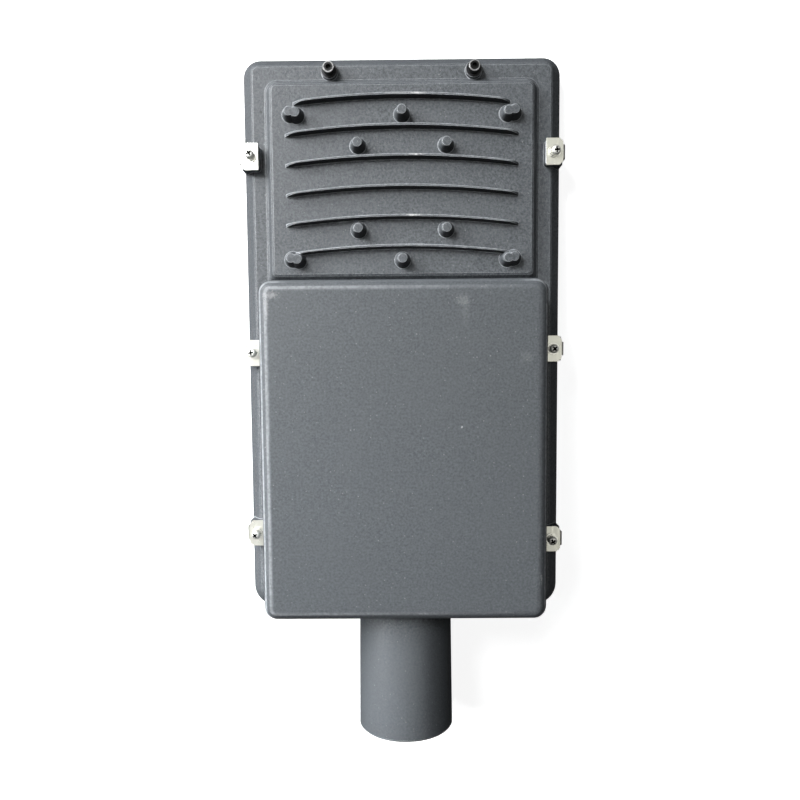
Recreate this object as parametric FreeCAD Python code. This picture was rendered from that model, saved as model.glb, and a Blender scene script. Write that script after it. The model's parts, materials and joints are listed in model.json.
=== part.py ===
import FreeCAD, Part
import math
import os

from FreeCAD import Vector

# LED street light head, millimetres.
# Y runs from the mouth of the spigot tube towards the tip, Z points out of the finned back,
# and the light leaves towards -Z. The origin is the centre of the tube's mouth.

# Spigot tube
tube_r = 30.0
tube_wall = 4.0
tube_tilt = 8.0
bore_depth = 70.0
mouth_chamfer = 1.0
tube_end_chamfer = 2.0
throat_r = 10.0
throat_z = 5.5
throat_lead_in = 7.5
pad_r = 8.0
pad_drop = 3.5
set_screw_r = 4.0
set_screw_ys = (22.0, 52.0)
set_screw_sink = 0.3
set_screw_key = 4.0
set_screw_key_depth = 3.2

# Plate: the rim, its sloped shoulder and the flange
plate_half = 98.5
plate_y0 = 75.5
tip_margin = 15.3
plate_arm_corner_r = 14.0
plate_tip_corner_r = 10.7
least_corner_r = 2.5
front_z = -15.0
rim_z = -5.0
flange_z = 2.0
lip_draft = 0.4
lip_step = 1.7
lip_step_rise = 1.5
shoulder_in = 6.7
shoulder_round = 0.6
flange_wall = 3.0

# Raised fin panel
panel_in = 14.3
panel_gap = 0.1
panel_length = 123.7
panel_arm_corner_r = 3.5
panel_tip_corner_r = 8.0
panel_rise = 5.5
panel_slope = 4.8
panel_round = 0.7
panel_wall = 3.5

# Arched fins, tapered in plan and in height
fin_count = 6
fin_first_dy = 35.2
fin_pitch = 17.9
fin_arch_r = 510.0
fin_end_gap = 13.4
outer_fin_end_gap = 18.5
fin_height = 4.5
fin_ramp = 8.0
fin_root_t = 2.9
fin_top_t = 1.3
fin_root_tip_t = 2.1
fin_top_tip_t = 0.9

# Cast pins over the blind screw holes of the lens panel
pins_share = 0.46
end_pin_height = 8.2
inner_pin_height = 7.0
corner_pin_height = 6.2
pin_root_r = 4.5
pin_foot_flare = 0.5
pin_foot_rise = 0.8
pin_top_r = 3.2
pin_round = 0.5
end_pin_in = 4.2
inner_pin_columns = 1.5
inner_pin_rows = 2.0
corner_pin_in = 20.4
corner_pin_end = 4.4
lobe_dx = 3.7
lobe_dy = 0.6

# Driver box
box_in = 13.4
box_gap = 4.5
box_length = 203.1
box_corner_r = 8.6
box_z = 34.0
box_draft = 0.9
box_round = 7.0
box_wall = 3.0
end_wall = 3.4

# Tray behind the glass
lip_wall = 3.5
ledge_width = 5.6
rebate_depth = 6.0
tray_draft = 0.8

# Glass, its gasket and the clearances round them
glass_t = 4.0
gasket_wall = 1.5
gasket_lip = 1.0
gasket_cover = 4.3
gasket_fit = 0.3

# Clips: a leg on the ear, a tongue down the rim and a lip under the glass
sheet_t = 1.2
clip_fit = 0.3
clip_leg_half = 8.0
clip_leg_in = 11.0
clip_tongue_half = 4.1
clip_lip_reach = 9.0
clip_bend_r = 1.0
clip_corner = 2.2
ear_rise = 4.5
ear_half = 7.4
ear_corner_r = 1.5
ear_edge_r = 1.2
notch_depth = 0.8
notch_gap = 0.8
clip_screw_in = 6.2
clip_tip_gap = 62.6
clip_arm_gap = 51.9
clip_mid_share = 0.476
right_tip_shift = 1.4
right_mid_shift = 1.4
right_arm_shift = -4.8

# Clip screws with a flat washer and a spring washer
m3_r = 1.5
thread_fit = 0.05
washer_fit = 0.15
screw_fit = 0.2
pan_head_r = 2.75
pan_head_h = 2.2
flat_washer_r = 3.8
flat_washer_t = 0.6
spring_washer_r = 2.9
spring_washer_t = 0.9
spring_washer_split = 0.6
clip_screw_length = 11.0
recess_reach = 1.6
recess_width = 0.8
recess_depth = 1.3
recess_turn = 31.0

# Socket-head screws at the tip
tip_screw_dx = 43.9
tip_screw_in = 10.9
tip_boss_r = 5.0
tip_boss_rise = 2.7
tip_boss_drop = 7.0
m4_r = 2.0
tip_washer_r = 4.4
tip_washer_t = 0.8
cap_head_r = 3.55
cap_head_h = 4.0
cap_head_chamfer = 0.4
hex_key = 3.0
hex_depth = 2.2
tip_screw_length = 11.0

# Board, packages and lens panel
board_in = 11.2
board_share = 0.3856
board_t = 1.6
package_side = 5.0
package_t = 0.8
package_gap = 0.5
lens_in = 1.5
lens_t = 2.2
lens_columns = 7
lens_rows = 6
lens_side_margin = 18.1
lens_end_margin = 16.2
dome_r = 5.2
dome_h = 5.0
lens_screw_length = 10.0

# White sheets seen through the glass
inner_sheet_t = 1.0
inner_sheet_fit = 0.7
sheet_joint = 0.6
cover_end_gap = 2.9
window_gap = 2.5
window_corner_r = 3.0
sheet_screw_in = 3.3
sheet_screw_length = 2.9
cover_screw_arm_gap = 20.0
cover_screw_fin_gap = 15.1
bezel_screw_box_gap = 14.8
bezel_screw_tip_gap = 10.9

# Driver and the other gear, hung from bosses under the roof of the box
boss_r = 4.6
boss_drop = 4.0
gear_screw_length = 7.0
gear_head_r = 3.6
gear_head_h = 2.4
tab_t = 3.0
driver_share_x = 0.438
driver_half_x = 32.0
driver_arm_gap = 37.0
driver_fin_gap = 19.1
driver_h = 27.0
driver_tab = 8.0
driver_tab_in = 2.0
driver_corner_r = 3.0
driver_edge = 1.0
driver_screw_dx = 22.0
bush_r = 3.5
bush_length = 5.0
surge_share_x = 0.475
surge_fin_gap = 58.1
surge_half_x = 19.0
surge_half_y = 25.0
surge_h = 22.0
surge_tab = 8.0
surge_corner_r = 3.0
terminal_share_x = 0.475
terminal_arm_gap = 50.0
terminal_half_x = 21.0
terminal_half_y = 11.0
terminal_base_h = 12.0
terminal_tower_h = 6.0
terminal_tower_half = 5.2
terminal_pitch = 12.7
terminal_tab = 8.0
tower_in = 2.0
pole_screw_r = 2.3
pole_screw_h = 1.2
pole_screw_dy = 5.0
pole_slot = 0.7
clamp_arm_gap = 14.0
clamp_post_dx = 14.0
clamp_bar_t = 3.0
clamp_bar_z = 2.0
clamp_bar_half_y = 5.0
clamp_bar_over = 6.1
clamp_corner_r = 2.0
earth_arm_gap = 19.0
earth_boss_drop = 10.0
lug_r = 4.8
lug_t = 0.8
lug_barrel_r = 1.9
lug_barrel_length = 5.0
earth_lead_r = 1.3
grommet_bore_r = 6.5
grommet_flange_r = 13.5
grommet_flange_t = 2.2
grommet_fit = 0.1
grommet_lead = 1.5
grommet_seat_gap = 0.5

# Leads inside the box
lead_z = 19.5
lead_r = 2.2
lead_bend_r = 6.0
lead_run_gap = 24.0
surge_lead_step = 6.0
board_lead_dx = 9.0
board_lead_r = 1.3
board_lead_z = 0.5
board_lead_exit_z = 12.0
groove_half = 4.5
connector_half_x = 6.0
connector_length = 6.5
connector_h = 4.0
connector_in = 2.1
connector_gap = 1.5

# Levels that several pieces share
bore_r = tube_r - tube_wall
box_half = plate_half - box_in
box_y0 = plate_y0 + box_gap
box_y1 = box_y0 + box_length
panel_half = plate_half - panel_in
panel_y0 = box_y1 + panel_gap
panel_y1 = panel_y0 + panel_length
panel_z = flange_z + panel_rise
plate_y1 = panel_y1 + tip_margin
plate_length = plate_y1 - plate_y0
pins_y = panel_y0 + panel_length * pins_share
corner_pin_dx = panel_half - corner_pin_in
tip_screw_y = plate_y1 - tip_screw_in
board_half = panel_half - board_in
lens_half = board_half - lens_in
board_dy = panel_length * board_share
lens_pitch_x = 2 * (lens_half - lens_side_margin) / (lens_columns - 1)
lens_pitch_y = 2 * (board_dy - lens_end_margin) / (lens_rows - 1)
connector_y = pins_y - board_dy + connector_in
plate_corners = (plate_arm_corner_r, plate_tip_corner_r)
panel_corners = (panel_arm_corner_r, panel_tip_corner_r)
box_corners = (box_corner_r, box_corner_r)
throat_y0 = plate_y0 - throat_lead_in
roof_z = box_z - box_wall
tray_z = flange_z - flange_wall
board_back_z = panel_z - panel_wall
board_front_z = board_back_z - board_t
lens_front_z = board_front_z - lens_t
ledge_z = front_z + rebate_depth
rebate_in = lip_wall
tray_in = rebate_in + ledge_width
tray_half = plate_half - tray_in
tray_y0 = box_y0 + end_wall
tray_y1 = plate_y1 - tray_in
cavity_half = box_half - box_wall
cavity_y1 = box_y1 - box_wall
driver_x = -cavity_half * driver_share_x
driver_y = (box_y0 + driver_arm_gap + box_y1 - driver_fin_gap) / 2
driver_half_y = (box_length - driver_arm_gap - driver_fin_gap) / 2 - driver_tab
surge_x = cavity_half * surge_share_x
surge_y = box_y1 - surge_fin_gap
terminal_x = cavity_half * terminal_share_x
terminal_y = box_y0 + terminal_arm_gap
clamp_y = box_y0 + clamp_arm_gap
earth_x = terminal_x + terminal_pitch
earth_y = box_y0 + earth_arm_gap
lead_run_y = box_y0 + lead_run_gap
board_lead_x = driver_x + board_lead_dx
glass_back_z = ledge_z - gasket_lip
glass_front_z = glass_back_z - glass_t
gasket_front_z = glass_front_z - gasket_lip
ear_z = flange_z + ear_rise
ear_out = plate_half - notch_depth
web_in = ear_out + clip_fit
web_out = web_in + sheet_t
clip_screw_x = plate_half - clip_screw_in
leg_z = ear_z + sheet_t
tip_boss_z = flange_z + tip_boss_rise
gear_z = roof_z - boss_drop
cover_y1 = (cavity_y1 + panel_y0 + panel_slope) / 2 - sheet_joint / 2


def rounded_wire(half_x, y0, y1, arm_r, tip_r, z):
    """A rectangle in a level plane, with one corner radius at the arm end and one at the tip."""
    k0 = arm_r * (1 - math.sqrt(0.5))
    k1 = tip_r * (1 - math.sqrt(0.5))
    x0 = -half_x
    x1 = half_x
    corners = (
        ((x1 - arm_r, y0), (x1 - k0, y0 + k0), (x1, y0 + arm_r)),
        ((x1, y1 - tip_r), (x1 - k1, y1 - k1), (x1 - tip_r, y1)),
        ((x0 + tip_r, y1), (x0 + k1, y1 - k1), (x0, y1 - tip_r)),
        ((x0, y0 + arm_r), (x0 + k0, y0 + k0), (x0 + arm_r, y0)),
    )
    edges = []
    for number, corner in enumerate(corners):
        start, middle, end = [Vector(x, y, z) for x, y in corner]
        edges.append(Part.Arc(start, middle, end).toShape())
        following = corners[(number + 1) % 4][0]
        edges.append(Part.LineSegment(end, Vector(following[0], following[1], z)).toShape())
    return Part.Wire(edges)


def drawn_in(corners, inset):
    """The two corner radii of an outline that runs inside another one."""
    return [max(corner_r - inset, least_corner_r) for corner_r in corners]


def stack(half_x, y0, y1, corners, levels):
    """A drafted slab: the rounded rectangle drawn in by each level's inset."""
    wires = []
    for z, inset in levels:
        arm_r, tip_r = drawn_in(corners, inset)
        wires.append(rounded_wire(half_x - inset, y0 + inset, y1 - inset, arm_r, tip_r, z))
    return Part.makeLoft(wires, True, True)


def tilted(shape):
    """Turns what was made along +Y about the centre of the tube's mouth, as the tube is."""
    shape.rotate(Vector(0, 0, 0), Vector(1, 0, 0), -tube_tilt)
    return shape


def block(x0, x1, y0, y1, z0, z1):
    return Part.makeBox(x1 - x0, y1 - y0, z1 - z0, Vector(x0, y0, z0))


def post(r, x, y, z0, z1):
    return Part.makeCylinder(r, z1 - z0, Vector(x, y, z0))


def washer(outer_r, inner_r, x, y, z, thickness):
    return post(outer_r, x, y, z, z + thickness).cut(post(inner_r, x, y, z - 1, z + thickness + 1))


def turned(points, x, y):
    """A solid turned about the vertical line through x, y from (radius, z) points."""
    outline = [Vector(x + r, y, z) for r, z in points]
    outline.append(outline[0])
    face = Part.Face(Part.makePolygon(outline))
    return face.revolve(Vector(x, y, 0), Vector(0, 0, 1), 360)


def polygon_prism(points, z0, z1):
    outline = [Vector(x, y, z0) for x, y in points]
    outline.append(outline[0])
    return Part.Face(Part.makePolygon(outline)).extrude(Vector(0, 0, z1 - z0))


def hexagon(x, y, across, z0, z1):
    r = across / math.sqrt(3)
    points = []
    for corner in range(6):
        angle = math.radians(60 * corner)
        points.append((x + r * math.cos(angle), y + r * math.sin(angle)))
    return polygon_prism(points, z0, z1)


def pan_screw(x, y, z, head_r, head_h, shank_r, length, up=True):
    """A pan-head screw whose head sits on level z; the shank runs the other way."""
    way = 1 if up else -1
    low = z + way * head_h * 0.55
    top = z + way * head_h
    points = [(0, z - way * length), (shank_r, z - way * length), (shank_r, z), (head_r, z)]
    points += [(head_r, low), (head_r * 0.8, top - way * 0.15), (head_r * 0.5, top), (0, top)]
    return turned(points, x, y)


def cross_recess(x, y, top, turn):
    """The cross of a driver recess, as a cutter that starts just above the head."""
    reach = recess_reach
    half = recess_width / 2
    cross = block(-reach, reach, -half, half, top - recess_depth, top + 1)
    cross = cross.fuse(block(-half, half, -reach, reach, top - recess_depth, top + 1))
    cross.rotate(Vector(0, 0, 0), Vector(0, 0, 1), turn)
    cross.translate(Vector(x, y, 0))
    return cross


def lead(points, bend_r, r):
    """A round lead along straight runs joined by tangent arcs."""
    edges = []
    start = points[0]
    for before, corner, after in zip(points, points[1:], points[2:]):
        back = (before - corner).normalize()
        ahead = (after - corner).normalize()
        half_turn = (math.pi - back.getAngle(ahead)) / 2
        cut = bend_r * math.tan(half_turn)
        arc_start = corner + back * cut
        arc_end = corner + ahead * cut
        inward = (back + ahead).normalize()
        centre = corner + inward * (bend_r / math.cos(half_turn))
        edges.append(Part.LineSegment(start, arc_start).toShape())
        edges.append(Part.Arc(arc_start, centre - inward * bend_r, arc_end).toShape())
        start = arc_end
    edges.append(Part.LineSegment(start, points[-1]).toShape())
    heading = points[1] - points[0]
    section = Part.Wire(Part.makeCircle(r, points[0], heading))
    return Part.Wire(edges).makePipeShell([section], True, False)


def clip_stations():
    """Name, side (-1 left, 1 right) and Y of each of the six clips."""
    tip = plate_y1 - clip_tip_gap
    mid = plate_y0 + plate_length * clip_mid_share
    arm = plate_y0 + clip_arm_gap
    return [
        ("clip_left_tip", -1, tip),
        ("clip_left_mid", -1, mid),
        ("clip_left_arm", -1, arm),
        ("clip_right_tip", 1, tip + right_tip_shift),
        ("clip_right_mid", 1, mid + right_mid_shift),
        ("clip_right_arm", 1, arm + right_arm_shift),
    ]


def mirror_x(shape):
    return shape.mirror(Vector(0, 0, 0), Vector(1, 0, 0))


def end_pin_places():
    reach = board_dy - end_pin_in
    return [(0, pins_y - reach), (0, pins_y + reach)]


def inner_pin_places():
    dx = inner_pin_columns * lens_pitch_x
    dy = inner_pin_rows * lens_pitch_y
    return [(sx * dx, pins_y + sy * dy) for sx in (-1, 1) for sy in (-1, 1)]


def corner_pin_places():
    dy = board_dy - corner_pin_end
    return [(sx * corner_pin_dx, pins_y + sy * dy) for sx in (-1, 1) for sy in (-1, 1)]


def lens_screw_places():
    return end_pin_places() + inner_pin_places() + corner_pin_places()


def package_places():
    places = []
    for column in range(lens_columns):
        for row in range(lens_rows):
            x = (column - (lens_columns - 1) / 2) * lens_pitch_x
            y = pins_y + (row - (lens_rows - 1) / 2) * lens_pitch_y
            places.append((x, y))
    return places


def cover_screw_places():
    x = tray_half - tray_draft - sheet_screw_in
    first = box_y0 + cover_screw_arm_gap
    last = box_y1 - cover_screw_fin_gap
    return [(side * x, y) for side in (-1, 1) for y in (first, (first + last) / 2, last)]


def bezel_screw_places():
    x = tray_half - tray_draft - sheet_screw_in
    ys = (panel_y0 + bezel_screw_box_gap, panel_y1 - bezel_screw_tip_gap)
    return [(side * x, y) for side in (-1, 1) for y in ys]


def driver_screw_places():
    reach = driver_half_y + driver_tab / 2
    places = []
    for sx in (-1, 1):
        for sy in (-1, 1):
            places.append((driver_x + sx * driver_screw_dx, driver_y + sy * reach))
    return places


def surge_screw_places():
    reach = surge_half_y + surge_tab / 2
    return [(surge_x, surge_y - reach), (surge_x, surge_y + reach)]


def terminal_screw_places():
    reach = terminal_half_x + terminal_tab / 2
    return [(terminal_x - reach, terminal_y), (terminal_x + reach, terminal_y)]


def clamp_screw_places():
    return [(-clamp_post_dx, clamp_y), (clamp_post_dx, clamp_y)]


def fin_wire(y_mid, half_span, middle_t, tip_t, z):
    """The fin's outline in plan: two arcs that close in towards the ends."""
    drop = fin_arch_r - math.sqrt(fin_arch_r ** 2 - half_span ** 2)
    y_tip = y_mid - drop
    low_left = Vector(-half_span, y_tip - tip_t / 2, z)
    low_right = Vector(half_span, y_tip - tip_t / 2, z)
    high_left = Vector(-half_span, y_tip + tip_t / 2, z)
    high_right = Vector(half_span, y_tip + tip_t / 2, z)
    low_middle = Vector(0, y_mid - middle_t / 2, z)
    high_middle = Vector(0, y_mid + middle_t / 2, z)
    edges = [
        Part.Arc(low_left, low_middle, low_right).toShape(),
        Part.LineSegment(low_right, high_right).toShape(),
        Part.Arc(high_right, high_middle, high_left).toShape(),
        Part.LineSegment(high_left, low_left).toShape(),
    ]
    return Part.Wire(edges)


def fin(number):
    """One arched fin: drafted walls, and a top that comes down to the panel at both ends."""
    y_mid = pins_y - fin_first_dy + number * fin_pitch
    outermost = number in (0, fin_count - 1)
    half_span = panel_half - (outer_fin_end_gap if outermost else fin_end_gap)
    foot_z = panel_z - 0.5
    top_z = panel_z + fin_height
    foot = fin_wire(y_mid, half_span, fin_root_t, fin_root_tip_t, foot_z)
    top = fin_wire(y_mid, half_span, fin_top_t, fin_top_tip_t, top_z)
    wall = Part.makeLoft([foot, top], True, True)
    y0 = y_mid - half_span
    slope = fin_ramp * 0.3
    points = [
        Vector(-half_span, y0, foot_z),
        Vector(half_span, y0, foot_z),
        Vector(half_span, y0, panel_z),
        Vector(half_span - fin_ramp, y0, top_z),
        Vector(fin_ramp - half_span, y0, top_z),
        Vector(-half_span, y0, panel_z),
    ]
    right_bulge = Vector(half_span - slope, y0, panel_z + fin_height * 0.55)
    left_bulge = Vector(slope - half_span, y0, panel_z + fin_height * 0.55)
    edges = [
        Part.LineSegment(points[0], points[1]).toShape(),
        Part.LineSegment(points[1], points[2]).toShape(),
        Part.Arc(points[2], right_bulge, points[3]).toShape(),
        Part.LineSegment(points[3], points[4]).toShape(),
        Part.Arc(points[4], left_bulge, points[5]).toShape(),
        Part.LineSegment(points[5], points[0]).toShape(),
    ]
    side_view = Part.Face(Part.Wire(edges)).extrude(Vector(0, 2 * half_span, 0))
    return wall.common(side_view)


def pin(x, y, height):
    top_z = panel_z + height
    points = [
        (0, panel_z - 0.5),
        (pin_root_r + pin_foot_flare, panel_z - 0.5),
        (pin_root_r + pin_foot_flare, panel_z),
        (pin_root_r, panel_z + pin_foot_rise),
        (pin_top_r, top_z - pin_round),
        (pin_top_r - pin_round, top_z),
        (0, top_z),
    ]
    return turned(points, x, y)


def pins():
    """Single pins in the middle, and at each corner a pin with a second lobe beside it."""
    shapes = [pin(x, y, end_pin_height) for x, y in end_pin_places()]
    shapes += [pin(x, y, inner_pin_height) for x, y in inner_pin_places()]
    for x, y in corner_pin_places():
        outward = lobe_dx if x > 0 else -lobe_dx
        shapes.append(pin(x, y, corner_pin_height))
        shapes.append(pin(x + outward, y + lobe_dy, corner_pin_height))
    return shapes


def ear(side, y):
    """The cast post under a clip's leg."""
    inner = plate_half - clip_leg_in - 0.4
    shape = block(inner, ear_out, y - ear_half, y + ear_half, rim_z, ear_z)
    edges = [e for e in shape.Edges if e.BoundBox.ZLength > 1 and e.BoundBox.XMax < inner + 1]
    shape = shape.makeFillet(ear_corner_r, edges)
    box = [e.BoundBox for e in shape.Edges]
    top = [e for e, b in zip(shape.Edges, box) if b.ZMin > ear_z - 0.01 and b.XMin > ear_out - 0.01]
    shape = shape.makeFillet(ear_edge_r, top)
    return shape if side > 0 else mirror_x(shape)


def plate_shell():
    levels = [
        (front_z, lip_draft),
        (rim_z - shoulder_round, 0),
        (rim_z, shoulder_round / 2),
        (rim_z + lip_step_rise, lip_step),
        (flange_z - shoulder_round, shoulder_in - shoulder_round),
        (flange_z, shoulder_in + shoulder_round),
    ]
    return stack(plate_half, plate_y0, plate_y1, plate_corners, levels)


def panel_shell():
    levels = [
        (flange_z - 1, 0),
        (flange_z, 0),
        (flange_z + panel_round, 2 * panel_round),
        (panel_z - panel_round, panel_slope - panel_round),
        (panel_z, panel_slope + panel_round),
    ]
    return stack(panel_half, panel_y0, panel_y1, panel_corners, levels)


def box_shell():
    levels = [(rim_z, 0), (box_z, box_draft)]
    shape = stack(box_half, box_y0, box_y1, box_corners, levels)
    rim = [e for e in shape.Edges if e.BoundBox.ZMin > box_z - 0.01]
    return shape.makeFillet(box_round, rim)


def tube_shell():
    """The inclined tube runs into the box; below the rim it ends at the inside of the lip wall."""
    lip_inside = plate_y0 + rebate_in
    outline = [
        Vector(0, 0, 0),
        Vector(tube_r - mouth_chamfer, 0, 0),
        Vector(tube_r, mouth_chamfer, 0),
        Vector(tube_r, lip_inside - tube_end_chamfer, 0),
        Vector(tube_r - tube_end_chamfer, lip_inside, 0),
        Vector(0, lip_inside, 0),
        Vector(0, 0, 0),
    ]
    shape = Part.Face(Part.makePolygon(outline)).revolve(Vector(0, 0, 0), Vector(0, 1, 0), 360)
    length = box_y0 + end_wall / 2 - mouth_chamfer
    upper = tilted(Part.makeCylinder(tube_r, length, Vector(0, mouth_chamfer, 0), Vector(0, 1, 0)))
    upper = upper.cut(block(-tube_r, tube_r, 0, box_y0 + tube_r, -2 * tube_r, front_z))
    pads = []
    low = -tube_r - pad_drop
    for y in set_screw_ys:
        points = [(0, low), (pad_r - 0.8, low), (pad_r, low + 0.8), (pad_r, -bore_r - 1), (0, -bore_r - 1)]
        pads.append(tilted(turned(points, 0, y)))
    return tilted(shape).fuse([upper] + pads)


def tip_bosses():
    shapes = []
    for side in (-1, 1):
        x = side * tip_screw_dx
        shapes.append(post(tip_boss_r, x, tip_screw_y, tray_z, tip_boss_z))
    return shapes


def inner_bosses():
    shapes = []
    gear_places = driver_screw_places() + surge_screw_places() + terminal_screw_places()
    for x, y in gear_places:
        shapes.append(post(boss_r, x, y, gear_z, roof_z + 0.5))
    for x, y in clamp_screw_places():
        shapes.append(post(boss_r, x, y, clamp_bar_z + clamp_bar_t, roof_z + 0.5))
    shapes.append(post(boss_r, earth_x, earth_y, roof_z - earth_boss_drop, roof_z + 0.5))
    for side in (-1, 1):
        x = side * tip_screw_dx
        shapes.append(post(tip_boss_r, x, tip_screw_y, tray_z - tip_boss_drop, tray_z + 0.5))
    return shapes


def cavities():
    rebate = stack(
        plate_half - rebate_in,
        plate_y0 + rebate_in,
        plate_y1 - rebate_in,
        drawn_in(plate_corners, rebate_in),
        [(front_z - 1, 0), (ledge_z, 0)],
    )
    tray = stack(
        tray_half,
        tray_y0,
        tray_y1,
        drawn_in(plate_corners, rebate_in),
        [(ledge_z - 1, 0), (ledge_z, 0), (tray_z, tray_draft)],
    )
    panel_inset = panel_slope + panel_round - flange_wall / 2
    pocket = stack(
        panel_half,
        panel_y0,
        panel_y1,
        panel_corners,
        [(tray_z - 1, panel_inset), (tray_z, panel_inset), (board_back_z, panel_inset + panel_slope - 1)],
    )
    chamfer = box_round - box_wall
    gear_bay = stack(
        cavity_half,
        tray_y0,
        cavity_y1,
        drawn_in(box_corners, box_wall),
        [(tray_z - 1, 0), (roof_z - chamfer, box_draft), (roof_z, box_draft + chamfer)],
    )
    groove = block(
        board_lead_x - groove_half,
        board_lead_x + groove_half,
        cavity_y1 - 1,
        connector_y - 1,
        tray_z - 1,
        board_back_z,
    )
    return [rebate, tray, pocket, gear_bay, groove]


def notch_relief(y, notch_half):
    """Breaks the rim's front edge, so the clip's lower bend can seat."""
    outline = [
        Vector(ear_out - ear_edge_r - 1, y - notch_half, front_z - 1),
        Vector(ear_out + 1, y - notch_half, front_z - 1),
        Vector(ear_out + 1, y - notch_half, front_z + ear_edge_r + 1),
        Vector(ear_out - ear_edge_r - 1, y - notch_half, front_z - 1),
    ]
    return Part.Face(Part.makePolygon(outline)).extrude(Vector(0, 2 * notch_half, 0))


def housing_holes():
    holes = [
        tilted(Part.makeCylinder(bore_r, bore_depth, Vector(0, 0, 0), Vector(0, 1, 0))),
        Part.makeCylinder(throat_r, tray_y0 - throat_y0 + 1, Vector(0, throat_y0, throat_z), Vector(0, 1, 0)),
        Part.makeCylinder(grommet_flange_r + grommet_seat_gap, grommet_flange_t, Vector(0, tray_y0, throat_z),
                          Vector(0, 1, 0)),
    ]
    m3_hole = m3_r + thread_fit
    m4_hole = m4_r + thread_fit
    for y in set_screw_ys:
        holes.append(tilted(post(set_screw_r + thread_fit, 0, y, -tube_r - pad_drop - 1, -bore_r + 1)))
    for x, y in lens_screw_places():
        reach = lens_front_z + lens_screw_length + 0.5
        holes.append(post(m3_hole, x, y, board_back_z - 1, reach))
    for name, side, y in clip_stations():
        reach = flat_washer_t + spring_washer_t + sheet_t
        foot = ear_z - (clip_screw_length - reach) - 0.5
        holes.append(post(m3_hole, side * clip_screw_x, y, foot, ear_z + 1))
        notch_half = clip_tongue_half + notch_gap
        notch = block(ear_out, plate_half + 1, y - notch_half, y + notch_half, front_z - 1, ear_z)
        notch = notch.fuse(notch_relief(y, notch_half))
        holes.append(notch if side > 0 else mirror_x(notch))
    for side in (-1, 1):
        foot = tip_boss_z + tip_washer_t - tip_screw_length - 0.5
        holes.append(post(m4_hole, side * tip_screw_dx, tip_screw_y, foot, tip_boss_z + 1))
    for x, y in cover_screw_places() + bezel_screw_places():
        reach = tray_z - inner_sheet_t + sheet_screw_length + 0.2
        holes.append(post(m3_hole, x, y, tray_z - 1, reach))
    gear_places = driver_screw_places() + surge_screw_places() + terminal_screw_places()
    for x, y in gear_places:
        holes.append(post(m4_hole, x, y, gear_z - 1, gear_z - tab_t + gear_screw_length + 0.5))
    for x, y in clamp_screw_places():
        top = clamp_bar_z + gear_screw_length + 0.5
        holes.append(post(m4_hole, x, y, clamp_bar_z + clamp_bar_t - 1, top))
    boss_z = roof_z - earth_boss_drop
    top = boss_z - lug_t + gear_screw_length + 0.5
    holes.append(post(m4_hole, earth_x, earth_y, boss_z - 1, top))
    return holes


def make_housing():
    pieces = [panel_shell(), box_shell(), tube_shell()]
    pieces += [fin(number) for number in range(fin_count)]
    pieces += pins()
    pieces += tip_bosses()
    pieces += [ear(side, y) for name, side, y in clip_stations()]
    shape = plate_shell().fuse(pieces)
    shape = shape.cut(cavities())
    shape = shape.fuse(inner_bosses())
    shape = shape.cut(housing_holes())
    return shape.removeSplitter()


def make_glass():
    inset = rebate_in + gasket_fit + gasket_wall
    levels = [(glass_front_z, 0), (glass_back_z, 0)]
    y0 = plate_y0 + inset
    y1 = plate_y1 - inset
    return stack(plate_half - inset, y0, y1, drawn_in(plate_corners, inset), levels)


def make_gasket():
    """A U channel of silicone pulled over the glass edge."""
    outset = rebate_in + gasket_fit
    window = outset + gasket_wall + gasket_cover
    y0 = plate_y0
    y1 = plate_y1
    whole = stack(plate_half - outset, y0 + outset, y1 - outset, drawn_in(plate_corners, outset),
                  [(gasket_front_z, 0), (ledge_z, 0)])
    opening = stack(plate_half - window, y0 + window, y1 - window, drawn_in(plate_corners, outset + gasket_wall),
                    [(gasket_front_z - 1, 0), (ledge_z + 1, 0)])
    return whole.cut(opening).cut(make_glass())


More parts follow.
